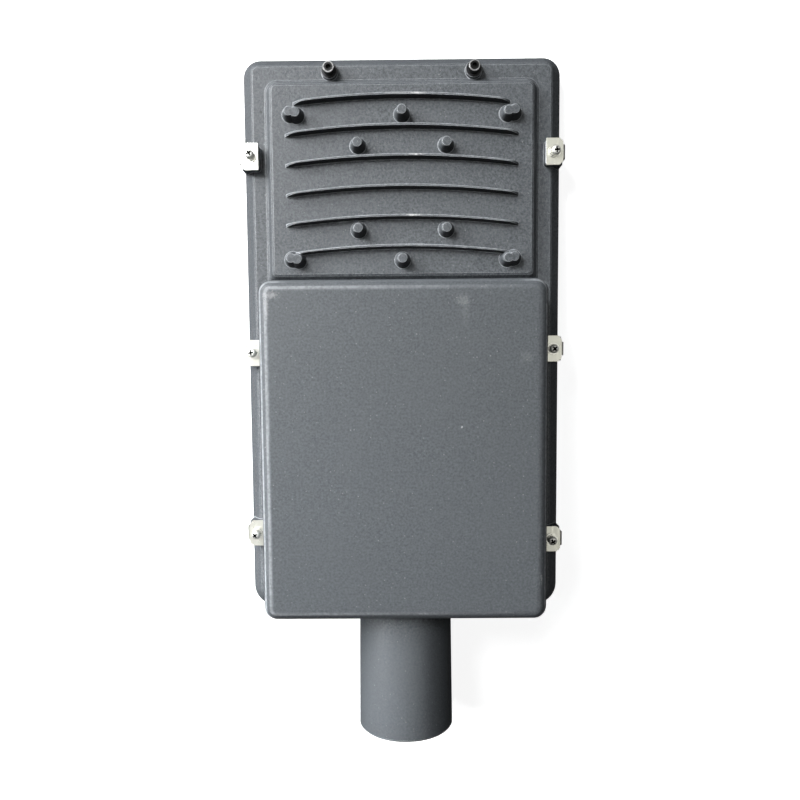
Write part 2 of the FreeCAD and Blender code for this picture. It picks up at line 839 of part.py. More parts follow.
def make_clip(side, y):
    """One bent strip: the leg lies on the ear, the tongue passes down the rim's notch."""
    outer_r = clip_bend_r + sheet_t
    lip_top = gasket_front_z
    lip_low = lip_top - sheet_t
    lip_end = plate_half - clip_lip_reach
    root = ear_out - clip_corner
    k_out = outer_r * (1 - math.sqrt(0.5))
    k_in = clip_bend_r * (1 - math.sqrt(0.5))
    y_side = y - clip_tongue_half

    def at(x, z):
        return Vector(x, y_side, z)

    edges = [
        Part.LineSegment(at(lip_end, lip_low), at(web_out - outer_r, lip_low)).toShape(),
        Part.Arc(at(web_out - outer_r, lip_low), at(web_out - k_out, lip_low + k_out),
                 at(web_out, lip_low + outer_r)).toShape(),
        Part.LineSegment(at(web_out, lip_low + outer_r), at(web_out, leg_z - outer_r)).toShape(),
        Part.Arc(at(web_out, leg_z - outer_r), at(web_out - k_out, leg_z - k_out),
                 at(web_out - outer_r, leg_z)).toShape(),
        Part.LineSegment(at(web_out - outer_r, leg_z), at(root, leg_z)).toShape(),
        Part.LineSegment(at(root, leg_z), at(root, ear_z)).toShape(),
        Part.LineSegment(at(root, ear_z), at(web_in - clip_bend_r, ear_z)).toShape(),
        Part.Arc(at(web_in - clip_bend_r, ear_z), at(web_in - k_in, ear_z - k_in),
                 at(web_in, ear_z - clip_bend_r)).toShape(),
        Part.LineSegment(at(web_in, ear_z - clip_bend_r), at(web_in, lip_top + clip_bend_r)).toShape(),
        Part.Arc(at(web_in, lip_top + clip_bend_r), at(web_in - k_in, lip_top + k_in),
                 at(web_in - clip_bend_r, lip_top)).toShape(),
        Part.LineSegment(at(web_in - clip_bend_r, lip_top), at(lip_end, lip_top)).toShape(),
        Part.LineSegment(at(lip_end, lip_top), at(lip_end, lip_low)).toShape(),
    ]
    tongue = Part.Face(Part.Wire(edges)).extrude(Vector(0, 2 * clip_tongue_half, 0))
    inner = plate_half - clip_leg_in
    corner = clip_corner
    points = [
        (inner, y - clip_leg_half),
        (ear_out - corner, y - clip_leg_half),
        (ear_out, y - clip_leg_half + corner),
        (ear_out, y + clip_leg_half - corner),
        (ear_out - corner, y + clip_leg_half),
        (inner, y + clip_leg_half),
    ]
    leg = polygon_prism(points, ear_z, leg_z)
    shape = leg.fuse(tongue).removeSplitter()
    shape = shape.cut(post(m3_r + 0.3, clip_screw_x, y, ear_z - 1, leg_z + 1))
    return shape if side > 0 else mirror_x(shape)


def make_clip_washers():
    rings = []
    for name, side, y in clip_stations():
        rings.append(washer(flat_washer_r, m3_r + washer_fit, side * clip_screw_x, y, leg_z, flat_washer_t))
    return rings


def make_spring_washers():
    """Each spring washer is a ring with a narrow split."""
    rings = []
    z = leg_z + flat_washer_t
    for name, side, y in clip_stations():
        x = side * clip_screw_x
        ring = washer(spring_washer_r, m3_r + washer_fit, x, y, z, spring_washer_t)
        gap = spring_washer_split / 2
        split = block(x, x + spring_washer_r + 1, y - gap, y + gap, z - 1, z + spring_washer_t + 1)
        rings.append(ring.cut(split))
    return rings


def make_clip_screws():
    screws = []
    z = leg_z + flat_washer_t + spring_washer_t
    for number, (name, side, y) in enumerate(clip_stations()):
        x = side * clip_screw_x
        screw = pan_screw(x, y, z, pan_head_r, pan_head_h, m3_r, clip_screw_length)
        recess = cross_recess(x, y, z + pan_head_h, number * recess_turn)
        screws.append(screw.cut(recess))
    return screws


def make_tip_screws():
    screws = []
    z = tip_boss_z + tip_washer_t
    for side in (-1, 1):
        x = side * tip_screw_dx
        top = z + cap_head_h
        points = [(0, z - tip_screw_length), (m4_r, z - tip_screw_length), (m4_r, z), (cap_head_r, z)]
        points += [(cap_head_r, top - cap_head_chamfer), (cap_head_r - cap_head_chamfer, top), (0, top)]
        socket = hexagon(x, tip_screw_y, hex_key, top - hex_depth, top + 1)
        screws.append(turned(points, x, tip_screw_y).cut(socket))
    return screws


def make_tip_washers():
    return [washer(tip_washer_r, m4_r + washer_fit, side * tip_screw_dx, tip_screw_y, tip_boss_z, tip_washer_t)
            for side in (-1, 1)]


def make_board():
    board = block(-board_half, board_half, pins_y - board_dy, pins_y + board_dy, board_front_z, board_back_z)
    holes = [post(m3_r + screw_fit, x, y, board_front_z - 1, board_back_z + 1) for x, y in lens_screw_places()]
    return board.cut(holes)


def make_packages():
    half = package_side / 2
    return [block(x - half, x + half, y - half, y + half, board_front_z - package_t, board_front_z)
            for x, y in package_places()]


def make_connector():
    return block(board_lead_x - connector_half_x, board_lead_x + connector_half_x,
                 connector_y, connector_y + connector_length, board_front_z - connector_h, board_front_z)


def dome(x, y):
    """A lens dome, turned from three points of its curve."""
    points = [(0, lens_front_z + 0.2), (dome_r, lens_front_z + 0.2), (dome_r, lens_front_z)]
    for step in (1, 2, 3):
        angle = math.radians(step * 90 / 3.4)
        points.append((dome_r * math.cos(angle), lens_front_z - dome_h * math.sin(angle)))
    points.append((0, lens_front_z - dome_h))
    return turned(points, x, y)


def make_lens():
    plate = block(-lens_half, lens_half, pins_y - board_dy, pins_y + board_dy, lens_front_z, board_front_z)
    plate = plate.fuse([dome(x, y) for x, y in package_places()])
    cutters = [post(m3_r + screw_fit, x, y, lens_front_z - 1, board_front_z + 1) for x, y in lens_screw_places()]
    half = package_side / 2 + package_gap
    for x, y in package_places():
        cutters.append(block(x - half, x + half, y - half, y + half,
                             board_front_z - package_t - package_gap / 2, board_front_z + 1))
    gap = connector_gap
    cutters.append(block(board_lead_x - connector_half_x - gap, board_lead_x + connector_half_x + gap,
                         pins_y - board_dy - 1, connector_y + connector_length + gap,
                         lens_front_z - 1, board_front_z + 1))
    return plate.cut(cutters).removeSplitter()


def make_lens_screws():
    return [pan_screw(x, y, lens_front_z, pan_head_r, pan_head_h, m3_r, lens_screw_length, up=False)
            for x, y in lens_screw_places()]


def inner_sheet(y0, y1):
    """The part between y0 and y1 of one sheet that follows the tray's outline."""
    half = tray_half - tray_draft - inner_sheet_fit
    tip_y = tray_y1 - tray_draft - inner_sheet_fit
    corners = drawn_in(plate_corners, rebate_in + tray_draft + inner_sheet_fit)
    levels = [(tray_z - inner_sheet_t, 0), (tray_z, 0)]
    whole = stack(half, tray_y0 + cover_end_gap, tip_y, corners, levels)
    return whole.common(block(-half, half, y0, y1, tray_z - 2, tray_z + 1))


def make_cover():
    sheet = inner_sheet(tray_y0, cover_y1)
    holes = [post(m3_r + screw_fit, x, y, tray_z - 3, tray_z + 1) for x, y in cover_screw_places()]
    return sheet.cut(holes)


def make_bezel():
    """The white sheet round the lens panel, let in round the two tip bosses."""
    sheet = inner_sheet(cover_y1 + sheet_joint, tray_y1)
    holes = [post(m3_r + screw_fit, x, y, tray_z - 3, tray_z + 1) for x, y in bezel_screw_places()]
    for side in (-1, 1):
        holes.append(post(tip_boss_r + 0.4, side * tip_screw_dx, tip_screw_y, tray_z - 3, tray_z + 1))
    window = stack(lens_half + window_gap, pins_y - board_dy - window_gap / 2,
                   pins_y + board_dy + window_gap / 2, (window_corner_r, window_corner_r),
                   [(tray_z - 3, 0), (tray_z + 1, 0)])
    return sheet.cut(holes + [window])


def make_sheet_screws(places):
    return [pan_screw(x, y, tray_z - inner_sheet_t, pan_head_r, pan_head_h, m3_r, sheet_screw_length, up=False)
            for x, y in places]


def gear_screws(places, z):
    return [pan_screw(x, y, z, gear_head_r, gear_head_h, m4_r, gear_screw_length, up=False)
            for x, y in places]


def make_driver():
    """A potted driver case with a fixing tab at each end."""
    levels = [(gear_z - driver_h, driver_edge), (gear_z - driver_h + driver_edge, 0), (gear_z, 0)]
    case = stack(driver_half_x, -driver_half_y, driver_half_y, (driver_corner_r, driver_corner_r), levels)
    case.translate(Vector(driver_x, driver_y, 0))
    reach = driver_half_y + driver_tab
    tab_half = driver_half_x - driver_tab_in
    tabs = block(driver_x - tab_half, driver_x + tab_half, driver_y - reach, driver_y + reach,
                 gear_z - tab_t, gear_z)
    holes = [post(m4_r + screw_fit, x, y, gear_z - tab_t - 1, gear_z + 1) for x, y in driver_screw_places()]
    return case.fuse(tabs).cut(holes).removeSplitter()


def make_driver_bushes():
    y_in = driver_y - driver_half_y
    y_out = driver_y + driver_half_y
    inlet = Part.makeCylinder(bush_r, bush_length, Vector(driver_x, y_in - bush_length, lead_z), Vector(0, 1, 0))
    outlet = Part.makeCylinder(bush_r, bush_length, Vector(board_lead_x, y_out, board_lead_exit_z),
                               Vector(0, 1, 0))
    return [inlet, outlet]


def make_surge_protector():
    case = block(surge_x - surge_half_x, surge_x + surge_half_x, surge_y - surge_half_y,
                 surge_y + surge_half_y, gear_z - surge_h, gear_z)
    upright = [e for e in case.Edges if e.BoundBox.ZLength > 1]
    case = case.makeFillet(surge_corner_r, upright)
    reach = surge_half_y + surge_tab
    tabs = block(surge_x - boss_r, surge_x + boss_r, surge_y - reach, surge_y + reach, gear_z - tab_t, gear_z)
    holes = [post(m4_r + screw_fit, x, y, gear_z - tab_t - 1, gear_z + 1) for x, y in surge_screw_places()]
    return case.fuse(tabs).cut(holes).removeSplitter()


def pole_xs():
    return [terminal_x + step * terminal_pitch for step in (-1, 0, 1)]


def make_terminal_block():
    base_z = gear_z - terminal_base_h
    tower_z = base_z - terminal_tower_h
    y0 = terminal_y - terminal_half_y
    y1 = terminal_y + terminal_half_y
    body = block(terminal_x - terminal_half_x, terminal_x + terminal_half_x, y0, y1, base_z, gear_z)
    towers = [block(x - terminal_tower_half, x + terminal_tower_half, y0 + tower_in, y1 - tower_in,
                    tower_z, base_z) for x in pole_xs()]
    reach = terminal_half_x + terminal_tab
    tabs = block(terminal_x - reach, terminal_x + reach, terminal_y - boss_r, terminal_y + boss_r,
                 gear_z - tab_t, gear_z)
    holes = [post(m4_r + screw_fit, x, y, gear_z - tab_t - 1, gear_z + 1) for x, y in terminal_screw_places()]
    return body.fuse(towers + [tabs]).cut(holes).removeSplitter()


def make_pole_screws():
    """Six brass clamp screws, two on each tower."""
    tower_z = gear_z - terminal_base_h - terminal_tower_h
    screws = []
    for x in pole_xs():
        for side in (-1, 1):
            y = terminal_y + side * pole_screw_dy
            head = post(pole_screw_r, x, y, tower_z - pole_screw_h, tower_z)
            slot = block(x - 2 * pole_screw_r, x + 2 * pole_screw_r, y - pole_slot / 2, y + pole_slot / 2,
                         tower_z - 2 * pole_screw_h, tower_z - pole_screw_h / 2)
            screws.append(head.cut(slot))
    return screws


def make_clamp_bar():
    reach = clamp_post_dx + clamp_bar_over
    bar = block(-reach, reach, clamp_y - clamp_bar_half_y, clamp_y + clamp_bar_half_y,
                clamp_bar_z, clamp_bar_z + clamp_bar_t)
    upright = [e for e in bar.Edges if e.BoundBox.ZLength > 1]
    bar = bar.makeFillet(clamp_corner_r, upright)
    holes = [post(m4_r + screw_fit, x, y, clamp_bar_z - 1, clamp_bar_z + clamp_bar_t + 1)
             for x, y in clamp_screw_places()]
    return bar.cut(holes)


def make_grommet():
    """A sleeve through the wire throat, with a flange on the gear side."""
    along = Vector(0, 1, 0)
    start = Vector(0, plate_y0 - grommet_lead, throat_z)
    length = tray_y0 - plate_y0 + grommet_lead
    sleeve = Part.makeCylinder(throat_r - grommet_fit, length, start, along)
    flange = Part.makeCylinder(grommet_flange_r, grommet_flange_t, Vector(0, tray_y0, throat_z), along)
    passage = Part.makeCylinder(grommet_bore_r, length + grommet_flange_t, start, along)
    return sleeve.fuse(flange).cut(passage).removeSplitter()


def earth_lug_z():
    return roof_z - earth_boss_drop - lug_t


def make_earth_lug():
    """A ring with a short barrel that grips the earth lead."""
    z = earth_lug_z()
    ring = post(lug_r, earth_x, earth_y, z, z + lug_t)
    strip = block(earth_x - lug_barrel_r, earth_x + lug_barrel_r, earth_y, earth_y + lug_r + lug_barrel_r,
                  z, z + lug_t)
    barrel = Part.makeCylinder(lug_barrel_r, lug_barrel_length, Vector(earth_x, earth_y + lug_r, z + lug_t / 2),
                               Vector(0, 1, 0))
    shape = ring.fuse([strip, barrel])
    return shape.cut(post(m4_r + washer_fit, earth_x, earth_y, z - 1, z + lug_t + 1)).removeSplitter()


def make_earth_lead():
    z = earth_lug_z() + lug_t / 2
    y0 = earth_y + lug_r + lug_barrel_length
    y1 = terminal_y - terminal_half_y
    return Part.makeCylinder(earth_lead_r, y1 - y0, Vector(earth_x, y0, z), Vector(0, 1, 0))


def make_supply_lead():
    """From the terminal block to the driver's inlet, past the cord clamp."""
    y_bush = driver_y - driver_half_y - bush_length
    points = [
        Vector(driver_x, y_bush, lead_z),
        Vector(driver_x, lead_run_y, lead_z),
        Vector(terminal_x, lead_run_y, lead_z),
        Vector(terminal_x, terminal_y - terminal_half_y, lead_z),
    ]
    return lead(points, lead_bend_r, lead_r)


def make_surge_lead():
    y0 = terminal_y + terminal_half_y
    y1 = surge_y - surge_half_y
    x1 = terminal_x - surge_lead_step
    points = [
        Vector(terminal_x, y0, lead_z),
        Vector(terminal_x, y0 + (y1 - y0) * 0.3, lead_z),
        Vector(x1, y0 + (y1 - y0) * 0.6, lead_z),
        Vector(x1, y1, lead_z),
    ]
    return lead(points, lead_bend_r, lead_r)


def make_board_lead():
    """From the driver's outlet down through the groove to the board's connector."""
    y0 = driver_y + driver_half_y + bush_length
    points = [
        Vector(board_lead_x, y0, board_lead_exit_z),
        Vector(board_lead_x, y0 + lead_bend_r, board_lead_exit_z),
        Vector(board_lead_x, cavity_y1 - board_lead_r, board_lead_z),
        Vector(board_lead_x, connector_y, board_lead_z),
    ]
    return lead(points, lead_bend_r, board_lead_r)


def make_set_screws():
    """Two cup-point screws with a hex socket, their tips level with the bore's wall."""
    screws = []
    low = -tube_r - pad_drop + set_screw_sink
    for y in set_screw_ys:
        body = post(set_screw_r, 0, y, low, -bore_r - set_screw_sink)
        socket = hexagon(0, y, set_screw_key, low - 1, low + set_screw_key_depth)
        screws.append(tilted(body.cut(socket)))
    return screws


def export(name, shapes):
    if isinstance(shapes, list):
        shapes = Part.makeCompound(shapes)
    shapes.exportStep("parts/" + name + ".step")
    solids = shapes.Solids
    print(name, len(solids), round(sum(solid.Volume for solid in solids)), all(s.isValid() for s in solids))


def main():
    os.makedirs("parts", exist_ok=True)
    export("housing", make_housing())
    export("front_glass", make_glass())
    export("glass_gasket", make_gasket())
    for name, side, y in clip_stations():
        export(name, make_clip(side, y))
    export("clip_washers", make_clip_washers())
    export("clip_spring_washers", make_spring_washers())
    export("clip_screws", make_clip_screws())
    export("tip_screws", make_tip_screws())
    export("tip_washers", make_tip_washers())
    export("led_board", make_board())
    export("led_packages", make_packages())
    export("board_connector", make_connector())
    export("lens_panel", make_lens())
    export("lens_screws", make_lens_screws())
    export("lens_bezel", make_bezel())
    export("bezel_screws", make_sheet_screws(bezel_screw_places()))
    export("gear_cover", make_cover())
    export("gear_cover_screws", make_sheet_screws(cover_screw_places()))
    export("driver", make_driver())
    export("driver_bushes", make_driver_bushes())
    export("driver_screws", gear_screws(driver_screw_places(), gear_z - tab_t))
    export("surge_protector", make_surge_protector())
    export("surge_screws", gear_screws(surge_screw_places(), gear_z - tab_t))
    export("terminal_block", make_terminal_block())
    export("terminal_screws", gear_screws(terminal_screw_places(), gear_z - tab_t))
    export("pole_screws", make_pole_screws())
    export("cord_clamp", make_clamp_bar())
    export("clamp_screws", gear_screws(clamp_screw_places(), clamp_bar_z))
    export("throat_grommet", make_grommet())
    export("earth_lug", make_earth_lug())
    export("earth_screw", gear_screws([(earth_x, earth_y)], earth_lug_z()))
    export("earth_lead", make_earth_lead())
    export("supply_lead", make_supply_lead())
    export("surge_lead", make_surge_lead())
    export("board_lead", make_board_lead())
    export("spigot_set_screws", make_set_screws())


main()
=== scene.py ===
# %% [markdown]
# # An LED street light head, lying on its glass
#
# The real object is one aluminium die casting, powder coated dark grey, that carries a front
# glass in sheet-steel clips, a driver box and a short tube for the lamp arm. The solids are
# already exact, so this lesson keeps them and spends its effort on what solids lack: paint
# with grain and wear, metal that has been handled, crooked screws, and the light of a studio.

import json
import math

import bmesh
import bpy
from mathutils import Matrix, Vector


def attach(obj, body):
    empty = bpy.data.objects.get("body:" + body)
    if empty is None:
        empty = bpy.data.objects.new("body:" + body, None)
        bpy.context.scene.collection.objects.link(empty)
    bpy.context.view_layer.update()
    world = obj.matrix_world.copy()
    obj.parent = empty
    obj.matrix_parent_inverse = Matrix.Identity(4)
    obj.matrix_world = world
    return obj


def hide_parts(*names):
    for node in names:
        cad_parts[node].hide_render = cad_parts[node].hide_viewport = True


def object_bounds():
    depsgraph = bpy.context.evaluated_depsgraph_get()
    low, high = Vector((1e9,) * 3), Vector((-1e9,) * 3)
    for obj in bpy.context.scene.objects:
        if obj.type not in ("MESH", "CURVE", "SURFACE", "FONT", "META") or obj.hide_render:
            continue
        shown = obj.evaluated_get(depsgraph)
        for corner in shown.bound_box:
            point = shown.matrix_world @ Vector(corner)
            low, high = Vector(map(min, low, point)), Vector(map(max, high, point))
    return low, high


MM = 0.001
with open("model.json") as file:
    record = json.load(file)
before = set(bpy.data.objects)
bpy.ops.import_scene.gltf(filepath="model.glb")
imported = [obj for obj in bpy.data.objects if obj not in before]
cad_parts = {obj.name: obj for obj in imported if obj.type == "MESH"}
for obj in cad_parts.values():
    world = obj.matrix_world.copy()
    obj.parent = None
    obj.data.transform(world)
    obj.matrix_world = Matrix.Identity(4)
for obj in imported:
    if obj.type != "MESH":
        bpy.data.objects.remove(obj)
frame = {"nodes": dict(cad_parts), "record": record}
cad_low, cad_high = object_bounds()
print("nodes:", len(frame["nodes"]), "box:", [round(v, 4) for v in (*cad_low, *cad_high)])


# %% [markdown]
# ## Places on the casting
#
# Wear and screws need places. They are given in millimetres, as a maker would read them off
# the casting: Y runs from the tube's mouth to the tip, and Z out of the finned back. The lid,
# the fins, the tip bosses and the clips are where the solids have them, so these few levels
# repeat theirs. CLIP_SEAT_Z is what a clip screw's head sits on, with its washers.

# %% Levels and centres in millimetres
LID_Z = 34.0
FIN_TOP_Z = 12.0
PANEL_Z = 7.5
CLIP_SEAT_Z = 9.2
CLIP_HOLE_Z = 6.6
TIP_BOSS_Z = 5.0
CLIP_SCREW_X = 92.3
TIP_SCREW_X = 43.9
TIP_SCREW_Y = 411.3
print("lid level from the frame:", round(cad_high.z / MM, 2), "and as written:", LID_Z)


# %% [markdown]
# ## The camera
#
# The photograph looks almost straight down on the finned back from less than half a metre, so
# the tube's mouth, which lies lower than the box's lid, shows as a curve. The position was
# worked out from the outline of the plate, the box and the tube. The lens is moderately wide.

# %% Camera
camera_data = bpy.data.cameras.new("studio_camera")
camera_data.lens = 27.0
camera_data.sensor_width = 36.0
camera_data.clip_start = 0.01
camera = bpy.data.objects.new("studio_camera", camera_data)
camera.location = (-0.00009, 0.23308, 0.37975)
camera.rotation_euler = [math.radians(a) for a in (-3.432, 0.324, -0.440)]
bpy.context.scene.collection.objects.link(camera)
bpy.context.scene.camera = camera
print("camera at", [round(v, 3) for v in camera.location])


# %% [markdown]
# ## A short way to write materials
#
# Each finish below is a graph of nodes. Writing every link in full hides the idea, so a small
# helper adds a node, sets its inputs and links what is given as another node's output.
# Plain numbers stay on the socket itself and are never linked. A ramp is the helper used most:
# it turns one range of a value into another and stops at both ends, which makes any mask.

# %% Material helper
class Graph:
    """Adds nodes to one material and links them."""

    def __init__(self, name):
        self.material = bpy.data.materials.new(name)
        self.material.use_nodes = True
        self.tree = self.material.node_tree
        self.tree.nodes.clear()
        self.output = self.tree.nodes.new("ShaderNodeOutputMaterial")

    def give(self, socket, value):
        """Link another node's output, or write a plain value on the socket."""
        if isinstance(value, bpy.types.NodeSocket):
            self.tree.links.new(value, socket)
        else:
            socket.default_value = value

    def add(self, kind, settings=None, **inputs):
        """Inputs go by name, with _ for a space, or by number as i0, i1 and i2."""
        node = self.tree.nodes.new("ShaderNode" + kind)
        for name, value in (settings or {}).items():
            setattr(node, name, value)
        for name, value in inputs.items():
            numbered = name[0] == "i" and name[1:].isdigit()
            self.give(node.inputs[int(name[1:]) if numbered else name.replace("_", " ")], value)
        return node

    def noise(self, vector, scale, detail=2.0, roughness=0.5):
        node = self.add("TexNoise", Vector=vector, Scale=scale, Detail=detail, Roughness=roughness)
        return node.outputs["Fac"]

    def math(self, operation, a, b=0.0):
        return self.add("Math", {"operation": operation}, i0=a, i1=b).outputs[0]

    def times(self, a, b):
        return self.math("MULTIPLY", a, b)

    def minus(self, a, b):
        return self.math("SUBTRACT", a, b)

    def larger(self, a, b):
        return self.math("MAXIMUM", a, b)

    def vector(self, operation, a, b=None):
        node = self.add("VectorMath", {"operation": operation}, i0=a)
        if b is not None:
            self.give(node.inputs[1], b)
        return node.outputs["Value" if operation in ("LENGTH", "DOT_PRODUCT") else "Vector"]

    def ramp(self, value, low, high, to_low=0.0, to_high=1.0):
        node = self.add("MapRange", {"clamp": True}, Value=value)
        node.inputs["From Min"].default_value = low
        node.inputs["From Max"].default_value = high
        node.inputs["To Min"].default_value = to_low
        node.inputs["To Max"].default_value = to_high
        return node.outputs[0]

    def mix(self, factor, a, b):
        node = self.add("Mix", {"data_type": "RGBA"})
        for name, value in (("Factor", factor), ("A", a), ("B", b)):
            self.give(next(s for s in node.inputs if s.name == name and s.enabled), value)
        return next(s for s in node.outputs if s.enabled)

    def bump(self, height, strength, distance, normal=None):
        node = self.add("Bump", Strength=strength, Distance=distance, Height=height)
        if normal is not None:
            self.give(node.inputs["Normal"], normal)
        return node.outputs["Normal"]

    def finish(self, shader):
        self.tree.links.new(shader, self.output.inputs["Surface"])
        return self.material


def place(graph):
    """The point on the object, in metres."""
    return graph.add("TexCoord").outputs["Object"]


def grey(value, blue=0.0):
    """A grey that leans to blue by the given share."""
    return (value, value * (1 + blue * 0.5), value * (1 + blue), 1.0)


def darker(colour, share):
    """The colour at a share of its brightness."""
    return tuple(c * share for c in colour[:3]) + (1.0,)


print("a dark blue grey:", [round(v, 3) for v in grey(0.085, 0.23)])


# %% [markdown]
# ## Where the paint is worn
#
# On the casting every edge, raised or hollow, shows as a thin pale line: partly worn paint where
# the powder is thin, and partly a painted highlight where the edge catches the light. That could
# be painted by hand or found from the mesh. A Bevel node is simpler: its normal differs from the
# true one only near an edge, so the angle between the two says where the edges are, whatever the
# shape. The same rounded normal also softens the edge itself.

# %% Edge mask
BEVEL_SAMPLES = 8


def rounded_normal(graph, radius):
    return graph.add("Bevel", {"samples": BEVEL_SAMPLES}, Radius=radius).outputs[0]


def edge_mask(graph, rounded, low, high):
    """1 on sharp edges, 0 on flats: how far the rounded normal has left the true one."""
    true_normal = graph.add("NewGeometry").outputs["Normal"]
    agreement = graph.vector("DOT_PRODUCT", rounded, true_normal)
    return graph.ramp(agreement, high, low)


print("edges are looked up with", BEVEL_SAMPLES, "samples")


# %% [markdown]
# ## The lid's edge
#
# The lid of the driver box ends in a wide round, too soft for the mask above, yet it shows a pale
# line along its outer and its inner edge, and these lines are painted highlights. Each line lies at
# one height, so a band of heights draws it. The outer one is strongest at the sides, the inner one
# at the left, where the light falls.

# %% Lid highlight lines
OUTER_LINE = (30.6, 31.9)
INNER_LINE = (33.5, 33.85)


def band(graph, value, low, high, soft):
    """1 between two levels in millimetres, 0 outside."""
    rise = graph.ramp(value, (low - soft) * MM, low * MM)
    fall = graph.ramp(value, high * MM, (high + soft) * MM, 1.0, 0.0)
    return graph.times(rise, fall)


# painted highlights along the lid's outer and inner line
def lid_highlights(graph, point):
    split = graph.add("SeparateXYZ", Vector=point)
    x, z = split.outputs["X"], split.outputs["Z"]
    at_sides = graph.ramp(graph.math("ABSOLUTE", x), 66 * MM, 80 * MM, 0.08, 0.75)
    outer = graph.times(band(graph, z, *OUTER_LINE, 0.3), at_sides)
    at_left = graph.ramp(x, -60 * MM, 75 * MM, 0.38, 0.05)
    inner = graph.times(band(graph, z, *INNER_LINE, 0.15), at_left)
    return graph.larger(outer, inner)


print("lid lines at", OUTER_LINE, "and", INNER_LINE, "mm")


# %% [markdown]
# ## Soot behind the fins
#
# The sides of the fins and pins that face away from the light are nearly black. Shadow alone
# leaves them dark grey, so a painted shade darkens their colour further. The mask comes from the
# way the surface faces, towards the tube and a little to the right, and is kept to what stands on the
# panel.

# %% Painted shade mask
SHADE_FACES = (0.45, -0.89, 0.0)
SHADE_STARTS_Y = 284


def lee_shade_mask(graph, point):
    """1 on the dark side of fins and pins, 0 elsewhere."""
    split = graph.add("SeparateXYZ", Vector=point)
    true_normal = graph.add("NewGeometry").outputs["Normal"]
    facing = graph.vector("DOT_PRODUCT", true_normal, SHADE_FACES)
    turned_away = graph.ramp(facing, 0.15, 0.55)
    on_panel = graph.ramp(split.outputs["Y"], SHADE_STARTS_Y * MM, (SHADE_STARTS_Y + 4) * MM)
    above = graph.ramp(split.outputs["Z"], PANEL_Z * MM, (PANEL_Z + 0.5) * MM)
    return graph.times(turned_away, graph.times(on_panel, above))


print("soot from y =", SHADE_STARTS_Y, "mm on")


# %% [markdown]
# ## Marks from handling, painted highlights and painted shade
#
# There is a chalky smear and a smudge on the lid, two short scratches and a worn dash on top of
# three fins. A pale patch at one corner of the lid and a pale stripe along its left side are painted
# highlights. Darker are two short strokes on the flange, and painted shade round the tip bosses.
# Each is a soft ball of influence round a named place, given with how far it reaches along each
# axis and how strong it is. Noise breaks it up, so it has no outline.

# %% Marks
chalk_marks_and_highlights = {
    "smear": ((34.2, 269.3, LID_Z), (5.0, 4.0, 6.0), 0.14),
    "smear_tail": ((35.5, 263.0, LID_Z), (3.0, 8.0, 6.0), 0.06),
    "smudge": ((70.9, 236.6, LID_Z), (4.5, 4.5, 6.0), 0.08),
    "dot": ((33.5, 196.5, LID_Z), (0.8, 0.8, 3.0), 0.7),
    # painted highlights at the lid's left tip corner and along its left side
    "corner_highlight": ((-76.0, 273.0, 33.6), (6.0, 2.6, 3.0), 0.30),
    "side_highlight": ((-78.6, 266.0, 33.4), (1.8, 9.0, 3.0), 0.22),
    "scratch_right": ((80.2, 106.4, 31.0), (0.7, 4.0, 5.0), 0.5),
    "scratch_arm": ((11.7, 85.9, 30.0), (6.0, 0.8, 5.0), 0.4),
    "dash_first": ((9.2, 394.7, FIN_TOP_Z), (5.5, 1.6, 1.4), 1.0),
    "dash_first_tail": ((-2.0, 394.9, FIN_TOP_Z), (9.0, 1.4, 1.2), 0.35),
    "dash_third": ((8.2, 359.2, FIN_TOP_Z), (5.5, 1.5, 1.4), 1.0),
    "dash_fifth": ((6.2, 323.3, FIN_TOP_Z), (6.0, 1.5, 1.4), 1.0),
}
dark_nicks_and_shade = {
    "left_stroke": ((-86.9, 388.4, 2.0), (0.6, 1.5, 2.0), 0.9),
    "right_stroke": ((-86.0, 387.9, 2.0), (0.6, 1.3, 2.0), 0.9),
    # painted shade round the tip bosses
    "left_boss_shade": ((-TIP_SCREW_X, TIP_SCREW_Y, TIP_BOSS_Z), (9.0, 9.0, 3.4), 0.9),
    "right_boss_shade": ((TIP_SCREW_X, TIP_SCREW_Y, TIP_BOSS_Z), (9.0, 9.0, 3.4), 0.9),
}
CHALK_AND_HIGHLIGHT = grey(0.58)
GRIME_AND_SHADE = grey(0.01)


def blot(graph, point, centre, reach, ragged):
    """1 at the centre in millimetres, 0 beyond the reach, with a broken edge."""
    from_centre = graph.vector("SUBTRACT", point, [c * MM for c in centre])
    in_reaches = graph.vector("MULTIPLY", from_centre, [1 / (r * MM) for r in reach])
    far = graph.vector("LENGTH", in_reaches)
    broken = graph.ramp(graph.noise(point, 900.0, 3.0, 0.7), 0.3, 0.7, -ragged, ragged)
    return graph.ramp(graph.math("ADD", far, broken), 0.2, 1.0, 1.0, 0.0)


def marked(graph, point, base, marks, colour, ragged):
    for centre, reach, strength in marks.values():
        mark = graph.times(blot(graph, point, centre, reach, ragged), strength)
        base = graph.mix(mark, base, colour)
    return base


print("marks:", len(chalk_marks_and_highlights), "pale and", len(dark_nicks_and_shade), "dark")


# %% [markdown]
# ## Bright specks
#
# Here and there a grain of the powder glints, and the glint is painted into the colour as a pale
# speck. A Voronoi pattern splits space into cells with one point each. A dot round the point, in a
# share of the cells picked by their random colour, gives specks that never line up. Two sizes of
# cell keep them from looking even.

# %% Specks
SPECK_LAYERS = ((260.0, 0.13, 0.10, 0.40), (420.0, 0.18, 0.25, 0.32))
# pale colour of the painted glints
SPECK = grey(0.42)


def specks(graph, point, scale, radius, share):
    """Small round dots in a share of the cells of a Voronoi pattern."""
    cells = graph.add("TexVoronoi", Vector=point, Scale=scale)
    dot = graph.ramp(cells.outputs["Distance"], radius * 0.5, radius, 1.0, 0.0)
    pick = graph.add("SeparateColor", i0=cells.outputs["Color"]).outputs[0]
    return graph.times(dot, graph.ramp(pick, 1 - share, 1 - share * 0.6))


